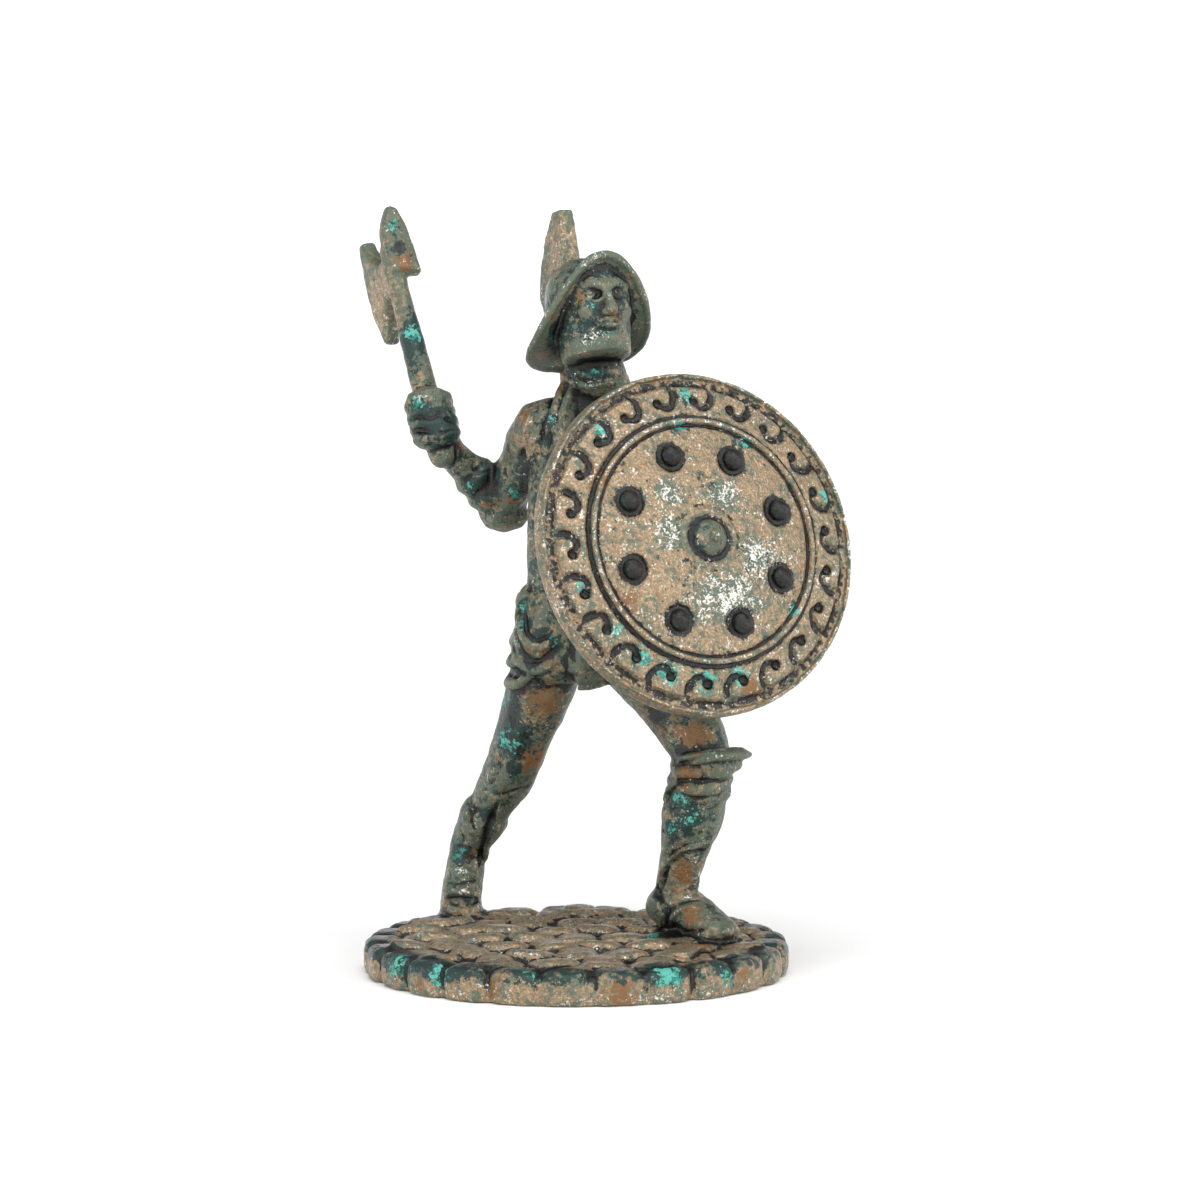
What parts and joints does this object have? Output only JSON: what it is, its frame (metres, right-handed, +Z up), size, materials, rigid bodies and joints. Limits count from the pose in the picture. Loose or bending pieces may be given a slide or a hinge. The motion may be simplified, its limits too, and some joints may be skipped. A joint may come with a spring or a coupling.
{
  "type": "gladiator statuette",
  "caption": "Small cast metal figure of a lunging gladiator with a crested brimmed helmet, raised axe and round studded shield, standing on a cobbled ground plate.",
  "frame": {"origin": "middle of the ground plate's flat underside", "axes": "+Z up; the statuette is seen from -Y, the side that the shield and the visor turn to; +X is on the viewer's right, where the shield is"},
  "size_m": [0.0295, 0.0239, 0.0453],
  "materials": {
    "casting": "solid bronze casting, dark and green patina in the recesses, satin rubbed tan metal on the high places",
    "shield": "solid bronze casting, rubbed to a sparkling tan on its face, black and green patina in the scrolls and round the studs"
  },
  "bodies": {
    "root": {"gladiator": "casting", "shield": "shield"}
  },
  "joints": []
}
